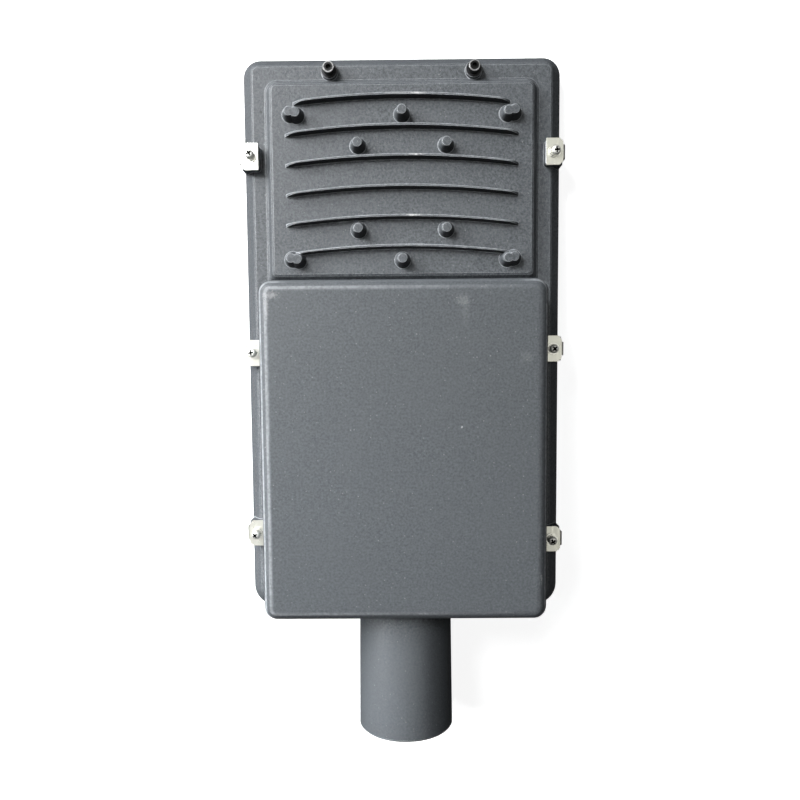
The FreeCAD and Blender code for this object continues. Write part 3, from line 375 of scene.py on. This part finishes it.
def specked(graph, point, base):
    for scale, radius, share, strength in SPECK_LAYERS:
        dots = graph.times(specks(graph, point, scale, radius, share), strength)
        base = graph.mix(dots, base, SPECK)
    return base


print("layers of specks:", len(SPECK_LAYERS))


# %% [markdown]
# ## Powder coat on a casting
#
# The paint is a textured blue-grey powder: under the lens it is a field of grains about a
# millimetre across, semi-matte, with a faint drift of tone from the spray gun. Noise at three
# scales gives it: coarse for the grains, fine for their skin, slow for the drift. The lid and
# the tube have been rubbed smoother than the rest, so the grain fades there. The edge lines,
# partly wear and partly painted highlight, the marks, the painted glints and the painted shade
# from above are then laid over the colour one after the other.

# %% Grain
COARSE_GRAIN = 760.0
FINE_GRAIN = 2100.0
DRIFT = 22.0
EDGE_PATCH_SCALE = 420.0
GRAIN_DEPTH = 0.36 * MM
EDGE_ROUND_RADIUS = 0.85 * MM
# near-black painted shade for the lee sides of fins and pins
SHADE_BLACK = grey(0.004)


def rubbed_smooth(graph, point):
    """How far the grain has gone: 0.6 on the tube, 0.4 on the lid, 0 on the flange."""
    split = graph.add("SeparateXYZ", Vector=point)
    on_lid = graph.ramp(split.outputs["Z"], 14 * MM, 31 * MM)
    on_tube = graph.ramp(split.outputs["Y"], 62 * MM, 76 * MM, 1.0, 0.0)
    return graph.larger(graph.times(on_lid, 0.40), graph.times(on_tube, 0.60))


def grained(graph, point, coarse, smooth, tone):
    """Dark hollows and paler grains, evened out where smooth, with a slow drift of tone."""
    hollow, crest = grey(tone * 0.50, 0.30), grey(tone * 1.50, 0.17)
    base = graph.mix(graph.ramp(coarse, 0.34, 0.66), hollow, crest)
    base = graph.mix(smooth, base, grey(tone, 0.23))
    drift = graph.ramp(graph.noise(point, DRIFT, 3.0, 0.6), 0.35, 0.65, 0.0, 0.25)
    return graph.mix(drift, base, grey(tone * 1.12, 0.18))


print("grains are about", round(1 / COARSE_GRAIN / MM, 1), "mm across")


# %% Housing paint
def powder_coat(name, tone, pale_edge_tone):
    graph = Graph(name)
    point = place(graph)
    smooth = rubbed_smooth(graph, point)
    coarse = graph.noise(point, COARSE_GRAIN, 3.0, 0.65)
    fine = graph.noise(point, FINE_GRAIN, 2.0, 0.5)
    rounded = rounded_normal(graph, EDGE_ROUND_RADIUS)
    painted_shade = lee_shade_mask(graph, point)
    edges = graph.larger(edge_mask(graph, rounded, 0.955, 0.998), lid_highlights(graph, point))
    edges = graph.times(edges, graph.minus(1.0, painted_shade))
    patches = graph.ramp(graph.noise(point, EDGE_PATCH_SCALE, 1.0), 0.36, 0.62, 0.55, 1.0)
    base = grained(graph, point, coarse, smooth, tone)
    # pale edge lines: partly worn paint, partly painted highlight
    base = graph.mix(graph.times(edges, graph.times(patches, 0.9)), base, grey(pale_edge_tone, 0.10))
    base = specked(graph, point, base)
    # chalk marks and wear, with painted highlights on the lid
    base = marked(graph, point, base, chalk_marks_and_highlights, CHALK_AND_HIGHLIGHT, 0.5)
    # dark strokes on the flange, and painted shade round the tip bosses
    base = marked(graph, point, base, dark_nicks_and_shade, GRIME_AND_SHADE, 0.2)
    # painted shade on the lee sides of fins and pins
    base = graph.mix(graph.times(painted_shade, 0.85), base, SHADE_BLACK)
    relief = graph.math("ADD", coarse, graph.times(fine, 0.35))
    normal = graph.bump(relief, graph.minus(1.0, smooth), GRAIN_DEPTH, rounded)
    dull = graph.ramp(coarse, 0.3, 0.7, 0.44, 0.60)
    roughness = graph.minus(dull, graph.times(edges, 0.14))
    shader = graph.add("BsdfPrincipled", Base_Color=base, Roughness=roughness, Normal=normal)
    return graph.finish(shader.outputs[0])


housing_paint = powder_coat("housing_powder_coat", 0.085, 0.48)
print("painted:", housing_paint.name, "nodes:", len(housing_paint.node_tree.nodes))


# %% [markdown]
# ## Metals
#
# The clips are plain stainless sheet and the fasteners are stainless too. Both are brighter
# than the paint by far. Fine scratches come from noise, which is stretched along Y for rolled
# sheet and for the drawn case of the driver. A cloud of duller metal breaks up the mirror.

# %% Bare metal
EVEN = (1.0, 1.0, 1.0)
ROLLED = (1.0, 0.08, 1.0)
DRAWN = (1.0, 0.05, 1.0)
SCRATCH_DEPTH = 0.03 * MM
SOFT_EDGE = 0.15 * MM


def bare_metal(name, colour, roughness, scratch, stretch=EVEN, dirt=0.0, metallic=1.0):
    graph = Graph(name)
    point = place(graph)
    along = graph.add("Mapping", Vector=point, Scale=stretch)
    lines = graph.noise(along.outputs[0], 900.0, 3.0, 0.6)
    cloud = graph.noise(point, 160.0, 2.0, 0.5)
    base = graph.mix(graph.ramp(cloud, 0.4, 0.75, 0.0, 0.25 + dirt), colour, darker(colour, 0.72))
    rough = graph.ramp(lines, 0.3, 0.7, roughness - 0.06, roughness + 0.08)
    normal = graph.bump(lines, scratch, SCRATCH_DEPTH, rounded_normal(graph, SOFT_EDGE))
    shader = graph.add("BsdfPrincipled", Base_Color=base, Metallic=metallic, Roughness=rough)
    graph.give(shader.inputs["Normal"], normal)
    return graph.finish(shader.outputs[0])


clip_steel = bare_metal("clip_sheet_steel", (0.80, 0.80, 0.73, 1.0), 0.32, 0.03, ROLLED, metallic=0.86)
screw_steel = bare_metal("screw_steel", (0.84, 0.84, 0.79, 1.0), 0.30, 0.05, dirt=0.1)
dark_steel = bare_metal("blackened_washer", (0.04, 0.04, 0.042, 1.0), 0.45, 0.1)
# near-black painted shade inside the screws' cross recesses
recess_shade = bare_metal("recess_shade", (0.01, 0.01, 0.01, 1.0), 0.7, 0.1)
zinc_head = bare_metal("zinc_screw_head", (0.93, 0.93, 0.89, 1.0), 0.52, 0.03, metallic=0.88)
brass = bare_metal("terminal_brass", (0.75, 0.58, 0.28, 1.0), 0.3, 0.1)
case_aluminium = bare_metal("driver_case_aluminium", (0.70, 0.71, 0.72, 1.0), 0.42, 0.3, DRAWN)
print("metals:", [m.name for m in (clip_steel, screw_steel, dark_steel, zinc_head, brass)])


# %% [markdown]
# ## Cap screws at the tip
#
# The two cap screws are blackened and worn bare only on the rim of the head, while the key
# socket inside stays black. The rim is a ring round the screw's own axis. The screws lie
# mirrored left and right, so the size of X serves both with one material.

# %% Worn rim
RIM_STARTS = (2.5, 2.9)
RIM_ENDS = (3.35, 3.55)


def cap_screw(name, axis_x, axis_y):
    graph = Graph(name)
    point = place(graph)
    split = graph.add("SeparateXYZ", Vector=point)
    across = graph.minus(graph.math("ABSOLUTE", split.outputs["X"]), axis_x * MM)
    along = graph.minus(split.outputs["Y"], axis_y * MM)
    far = graph.vector("LENGTH", graph.add("CombineXYZ", X=across, Y=along).outputs[0])
    inner = graph.ramp(far, RIM_STARTS[0] * MM, RIM_STARTS[1] * MM)
    outer = graph.ramp(far, RIM_ENDS[0] * MM, RIM_ENDS[1] * MM, 1.0, 0.0)
    patchy = graph.ramp(graph.noise(point, 500.0), 0.3, 0.6, 0.5, 1.0)
    worn = graph.times(graph.times(inner, outer), patchy)
    base = graph.mix(worn, grey(0.03), grey(0.50))
    metallic = graph.ramp(worn, 0.0, 1.0, 1.0, 0.35)
    dull = graph.ramp(worn, 0.0, 1.0, 0.45, 0.3)
    shader = graph.add("BsdfPrincipled", Base_Color=base, Metallic=metallic, Roughness=dull)
    return graph.finish(shader.outputs[0])


cap_steel = cap_screw("worn_cap_screw", TIP_SCREW_X, TIP_SCREW_Y)
print("rim worn between", RIM_STARTS[0], "and", RIM_ENDS[1], "mm from the axis")


# %% [markdown]
# ## Plastics, rubber and painted sheet
#
# What lies behind the glass is simple: white painted sheet, a white board, yellow phosphor,
# clear acrylic lenses and moulded plastics. One helper gives each a faint grain and its own
# gloss, so that none is a single flat colour.

# %% Moulded and painted finishes
def moulded(name, colour, roughness, grain_scale=1500.0, grain_depth=0.02, clear=0.0, ior=1.45):
    graph = Graph(name)
    point = place(graph)
    grain = graph.noise(point, grain_scale, 2.0, 0.5)
    cloud = graph.noise(point, 60.0, 2.0, 0.5)
    base = graph.mix(graph.ramp(cloud, 0.3, 0.7, 0.0, 0.6), colour, darker(colour, 0.86))
    rough = graph.ramp(grain, 0.3, 0.7, max(roughness - 0.05, 0.0), roughness + 0.05)
    normal = graph.bump(grain, 0.3, grain_depth * MM)
    shader = graph.add("BsdfPrincipled", Base_Color=base, Roughness=rough, Normal=normal, IOR=ior)
    shader.inputs["Transmission Weight"].default_value = clear
    return graph.finish(shader.outputs[0])


white_sheet = moulded("white_painted_sheet", (0.80, 0.80, 0.79, 1.0), 0.42)
board_white = moulded("board_solder_mask", (0.78, 0.80, 0.79, 1.0), 0.3)
phosphor = moulded("led_phosphor", (0.85, 0.62, 0.08, 1.0), 0.5)
lens_acrylic = moulded("lens_acrylic", (0.96, 0.98, 0.98, 1.0), 0.06, 900.0, 0.004, 1.0, 1.49)
silicone = moulded("gasket_silicone", (0.62, 0.62, 0.60, 1.0), 0.5, 900.0, 0.03)
ivory_plastic = moulded("terminal_plastic", (0.70, 0.67, 0.56, 1.0), 0.45)
surge_plastic = moulded("surge_case_plastic", (0.03, 0.05, 0.12, 1.0), 0.5)
black_rubber = moulded("black_rubber", (0.02, 0.02, 0.02, 1.0), 0.65)
grey_nylon = moulded("clamp_nylon", (0.16, 0.16, 0.17, 1.0), 0.5)
lead_black = moulded("lead_black", (0.018, 0.018, 0.018, 1.0), 0.45)
lead_red = moulded("lead_red", (0.40, 0.02, 0.015, 1.0), 0.45)
lead_earth = moulded("lead_earth", (0.10, 0.32, 0.03, 1.0), 0.45)
print("finishes so far:", len(bpy.data.materials))


# %% [markdown]
# ## Front glass
#
# Tempered glass is clear with a green cast, which shows most in its thickness. A faint smudge
# in the roughness is enough to stop it from looking like air.

# %% Tempered glass
def tempered_glass(name):
    graph = Graph(name)
    smudge = graph.noise(place(graph), 40.0, 4.0, 0.6)
    rough = graph.ramp(smudge, 0.45, 0.75, 0.0, 0.06)
    shader = graph.add("BsdfPrincipled", Roughness=rough, IOR=1.5)
    shader.inputs["Base Color"].default_value = (0.93, 0.98, 0.96, 1.0)
    shader.inputs["Transmission Weight"].default_value = 1.0
    return graph.finish(shader.outputs[0])


front_glass = tempered_glass("front_tempered_glass")
print("glass:", front_glass.name)


# %% [markdown]
# ## Finishes on the solids
#
# The record names a material slot for every solid, so one table from slot to finish dresses
# them all. Only the fasteners at the tip differ from their slot, because they are blackened.

# %% Give every solid its finish
finish_of_slot = {
    "housing_paint": housing_paint,
    "clip_steel": clip_steel,
    "screw_steel": screw_steel,
    "clear_glass": front_glass,
    "silicone": silicone,
    "white_sheet": white_sheet,
    "board_white": board_white,
    "led_yellow": phosphor,
    "lens_clear": lens_acrylic,
    "ivory_plastic": ivory_plastic,
    "driver_case": case_aluminium,
    "surge_plastic": surge_plastic,
    "black_rubber": black_rubber,
    "plain_brass": brass,
    "grey_plastic": grey_nylon,
    "lead_black": lead_black,
    "lead_red": lead_red,
    "lead_earth": lead_earth,
}
for part in frame["record"]["subparts"]:
    node = frame["nodes"][part["node"]]
    node.data.materials.clear()
    node.data.materials.append(finish_of_slot[part["material_slot"]])
frame["nodes"]["tip_screws"].data.materials[0] = cap_steel
frame["nodes"]["tip_washers"].data.materials[0] = dark_steel


# %% [markdown]
# ## Clip screws, proud and crooked
#
# The six clip screws have been out and in again: each pan head stands a little proud, leans its
# own way and has stopped at its own turn. A head could be a cylinder with its edge rounded by
# a modifier. Here it is a profile spun round an axis, because the low dome of a pan head is
# easiest to judge as an outline. The profile is a list of radius and height.

# %% Spin a profile
DOME = [(0, 2.2), (1.2, 2.17), (1.9, 2.0), (2.4, 1.62), (2.68, 1.05), (2.75, 0.5), (2.72, 0.1)]
SHANK = [(2.6, 0.0), (1.5, 0.0), (1.5, -10.4), (1.1, -10.9), (0, -10.9)]
HEAD_HEIGHT = DOME[0][1]


def spun(mesh, profile, steps=48):
    """Rings of points round the Z axis, joined by faces. A radius of 0 is a single point."""
    rings = []
    for radius, z in profile:
        count = 1 if radius == 0 else steps
        angles = [2 * math.pi * k / steps for k in range(count)]
        ring = [mesh.verts.new((radius * math.cos(a), radius * math.sin(a), z)) for a in angles]
        rings.append(ring)
    for upper, lower in zip(rings, rings[1:]):
        for k in range(steps):
            a = upper[k % len(upper)]
            b = upper[(k + 1) % len(upper)]
            c = lower[(k + 1) % len(lower)]
            d = lower[k % len(lower)]
            corners = list(dict.fromkeys((a, d, c, b)))
            if len(corners) > 2:
                mesh.faces.new(corners)


def plain_object(name, mesh, materials):
    """Turn a finished bmesh into an object in the scene."""
    bmesh.ops.recalc_face_normals(mesh, faces=mesh.faces)
    data = bpy.data.meshes.new(name)
    mesh.to_mesh(data)
    mesh.free()
    for material in materials:
        data.materials.append(material)
    piece = bpy.data.objects.new(name, data)
    bpy.context.scene.collection.objects.link(piece)
    return piece


print("head", 2 * max(radius for radius, z in DOME), "mm wide and", HEAD_HEIGHT, "mm high")


# %% [markdown]
# ## The driver recess
#
# The recess is a cross that narrows as it goes down. It is a solid of its own, taken away from
# the head with a Boolean. The cutter's faces have the second material, a near-black painted shade,
# and the Boolean carries it over to the new faces, so the cross is dark without any masking.

# %% Cut the cross
CROSS_TOP = (1.95, 0.60, 2.6)
CROSS_FOOT = (1.20, 0.42, 0.8)
CROSS_CORNERS = 12
HEAD_MATERIALS = [zinc_head, recess_shade]


def cross_ring(mesh, reach, half, z):
    """The twelve corners of a cross, in order."""
    quarter = [(reach, -half), (reach, half), (half, half)]
    ring = []
    for k in range(4):
        turn = Matrix.Rotation(k * math.pi / 2, 2)
        ring += [mesh.verts.new((*(turn @ Vector(p)), z)) for p in quarter]
    return ring


def recess_cutter():
    mesh = bmesh.new()
    top = cross_ring(mesh, *CROSS_TOP)
    foot = cross_ring(mesh, *CROSS_FOOT)
    for k in range(CROSS_CORNERS):
        after = (k + 1) % CROSS_CORNERS
        mesh.faces.new((top[k], top[after], foot[after], foot[k]))
    mesh.faces.new(top)
    mesh.faces.new(foot)
    for face in mesh.faces:
        face.material_index = 1
    return plain_object("recess_cutter", mesh, HEAD_MATERIALS)


def pan_head():
    mesh = bmesh.new()
    spun(mesh, DOME + SHANK)
    head = plain_object("pan_head", mesh, HEAD_MATERIALS)
    cutter = recess_cutter()
    cut = head.modifiers.new("recess", "BOOLEAN")
    cut.operation = "DIFFERENCE"
    cut.solver = "EXACT"
    cut.object = cutter
    graph = bpy.context.evaluated_depsgraph_get()
    finished = bpy.data.meshes.new_from_object(head.evaluated_get(graph))
    bpy.data.objects.remove(head)
    bpy.data.objects.remove(cutter)
    return finished


one_head = pan_head()
print("one screw:", len(one_head.polygons), "faces")


# %% [markdown]
# ## Six screws, each its own way
#
# Every screw has its centre, its turn in degrees, how far the top of its head leans in X and Y,
# and how far it stands proud. Leaning is a turn about a point inside the clip's hole, so the
# shank stays in its hole while the head moves aside.

# %% Place the heads
SMOOTH_BELOW = math.radians(35)
screw_places = {
    "left_tip": ((-CLIP_SCREW_X, 359.6), 33, (0.0, 0.9), 0.5),
    "left_mid": ((-CLIP_SCREW_X, 240.53), 10, (-1.5, 0.1), 0.4),
    "left_arm": ((-CLIP_SCREW_X, 127.4), 38, (-1.3, -0.6), 0.6),
    "right_tip": ((CLIP_SCREW_X, 361.0), 6, (0.7, -0.3), 0.5),
    "right_mid": ((CLIP_SCREW_X, 241.93), 42, (0.3, -0.3), 0.1),
    "right_arm": ((CLIP_SCREW_X, 122.6), 36, (0.1, -0.8), 0.5),
}


def crooked(place_xy, turn, lean, proud):
    """Where one screw goes: turned on its axis, then leant about a point in the clip's hole."""
    x, y = place_xy
    pivot = Vector((x, y, CLIP_HOLE_Z))
    arm = CLIP_SEAT_Z + HEAD_HEIGHT + proud - CLIP_HOLE_Z
    axis = Vector((-lean[1], lean[0], 0.0))
    angle = math.atan(axis.length / arm)
    leant = Matrix.Translation(pivot) @ Matrix.Rotation(angle, 4, axis) @ Matrix.Translation(-pivot)
    turned = Matrix.Rotation(math.radians(turn), 4, "Z")
    seated = Matrix.Translation((x, y, CLIP_SEAT_Z + proud)) @ turned
    return Matrix.Scale(MM, 4) @ leant @ seated


all_heads = bmesh.new()
for place_xy, turn, lean, proud in screw_places.values():
    copy = one_head.copy()
    copy.transform(crooked(place_xy, turn, lean, proud))
    all_heads.from_mesh(copy)
clip_screws = plain_object("crooked_clip_screws", all_heads, HEAD_MATERIALS)
for face in clip_screws.data.polygons:
    face.use_smooth = True
clip_screws.data.set_sharp_from_angle(angle=SMOOTH_BELOW)
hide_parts("clip_screws")
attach(clip_screws, "root")
print("clip screws:", len(screw_places), "faces:", len(clip_screws.data.polygons))


# %% [markdown]
# ## The floor
#
# The head lies on the tube's set-screw pads and on the tip of its rim, so seen from the head
# the table leans by a few degrees. The table is white to the camera and dark to the object, as
# if the head stood on a dark bench and only the picture's ground were bright. A Light Path
# node tells the two apart. The white is partly diffuse, so that it keeps the head's shadow,
# and partly glow, which grows with distance, where the lamps no longer reach.

# %% Floor
FLOOR_HALF = 4.0
PADS_Y = 0.0700
RIM_TIP_Y = 0.4218
RIM_TIP_Z = -0.0150
rest_low = Vector((0.0, PADS_Y, cad_low.z))
floor_lean = math.atan2(RIM_TIP_Z - rest_low.z, RIM_TIP_Y - rest_low.y)


def white_floor(name):
    graph = Graph(name)
    pale = graph.add("BsdfDiffuse", Color=(0.86, 0.86, 0.86, 1.0))
    far = graph.vector("LENGTH", place(graph))
    glow = graph.add("Emission", Strength=graph.ramp(far, 0.5, 1.2, 0.85, 1.05))
    dark = graph.add("BsdfDiffuse", Color=(0.05, 0.05, 0.05, 1.0))
    path = graph.add("LightPath")
    seen = graph.larger(path.outputs["Is Camera Ray"], path.outputs["Is Transmission Ray"])
    white = graph.add("AddShader", i0=pale.outputs[0], i1=glow.outputs[0])
    chosen = graph.add("MixShader", i0=seen, i1=dark.outputs[0], i2=white.outputs[0])
    return graph.finish(chosen.outputs[0])


floor_corners = [(sx * FLOOR_HALF, sy * FLOOR_HALF, 0) for sx, sy in ((-1, -1), (1, -1), (1, 1), (-1, 1))]
floor_mesh = bpy.data.meshes.new("floor")
floor_mesh.from_pydata(floor_corners, [], [(0, 1, 2, 3)])
floor = bpy.data.objects.new("floor", floor_mesh)
floor.location = rest_low
floor.rotation_euler = (floor_lean, 0, 0)
floor.data.materials.append(white_floor("white_floor"))
bpy.context.scene.collection.objects.link(floor)
print("floor leans", round(math.degrees(floor_lean), 2), "degrees")


# %% [markdown]
# ## The lamps
#
# The main lamp is high, beyond the tip and to the left: it draws every fin with a bright top
# and a short black foot. A lower one in the same direction gives the long soft shadows of the
# pins, and one well to the left, still beyond the last fin, brightens that side. A gridded lamp
# adds a little at the tube end. Two dim cards overhead are seen only in reflections, because
# flat steel needs something bright to mirror and dark paint doesn't.

# %% Lamps
COOL = (0.985, 0.993, 1.0)
AIM = Vector((0.0, 0.25, 0.0))
ARM_AIM = Vector((0.0, 0.04, 0.0))


def soft_box(name, location, size, watts, colour=COOL, only_sheen=False, aim=AIM):
    data = bpy.data.lights.new(name, "AREA")
    data.shape = "RECTANGLE"
    data.size, data.size_y = size
    data.energy = watts
    data.color = colour
    lamp = bpy.data.objects.new(name, data)
    lamp.location = location
    lamp.rotation_euler = (aim - Vector(location)).to_track_quat("-Z", "Y").to_euler()
    lamp.visible_diffuse = not only_sheen
    bpy.context.scene.collection.objects.link(lamp)
    return lamp


soft_box("key_beyond_tip", (-0.58, 1.10, 0.46), (0.34, 0.34), 6.0)
soft_box("main_upper_left", (-0.52, 0.78, 0.86), (0.36, 0.36), 9.6)
soft_box("low_left", (-0.92, 0.74, 0.44), (0.36, 0.36), 11.2)
soft_box("weak_right", (0.90, 0.45, 0.70), (0.40, 0.40), 1.1)
soft_box("card_right", (0.52, 0.26, 1.50), (1.60, 0.56), 3.3, (1.0, 0.99, 0.92), True)
soft_box("card_left", (-0.47, 0.26, 1.50), (1.60, 0.36), 3.0, (1.0, 1.0, 0.98), True)
arm_lamp = soft_box("gridded_arm_side", (-0.62, 0.24, 0.36), (0.25, 0.25), 0.50, aim=ARM_AIM)
arm_lamp.data.spread = math.radians(46)


# %% [markdown]
# ## The room
#
# The room itself gives almost nothing, so shadows stay deep, yet what the camera sees of it is
# white. One background has the fill's strength and the other is plain white, and Light Path
# chooses between them. The view transform is Standard, so it adds no curve of its own.

# %% World
FILL = 0.045
WHITE = (1.0, 1.0, 1.0, 1.0)


def pale_room(name):
    world = bpy.data.worlds.new(name)
    world.use_nodes = True
    tree = world.node_tree
    tree.nodes.clear()
    out = tree.nodes.new("ShaderNodeOutputWorld")
    choose = tree.nodes.new("ShaderNodeMixShader")
    path = tree.nodes.new("ShaderNodeLightPath")
    tree.links.new(path.outputs["Is Camera Ray"], choose.inputs[0])
    for slot, strength in ((1, FILL), (2, 1.0)):
        background = tree.nodes.new("ShaderNodeBackground")
        background.inputs["Color"].default_value = WHITE
        background.inputs["Strength"].default_value = strength
        tree.links.new(background.outputs[0], choose.inputs[slot])
    tree.links.new(choose.outputs[0], out.inputs[0])
    return world


bpy.context.scene.world = pale_room("pale_room")
bpy.context.scene.view_settings.view_transform = "Standard"
print("fill:", FILL, "view:", bpy.context.scene.view_settings.view_transform)
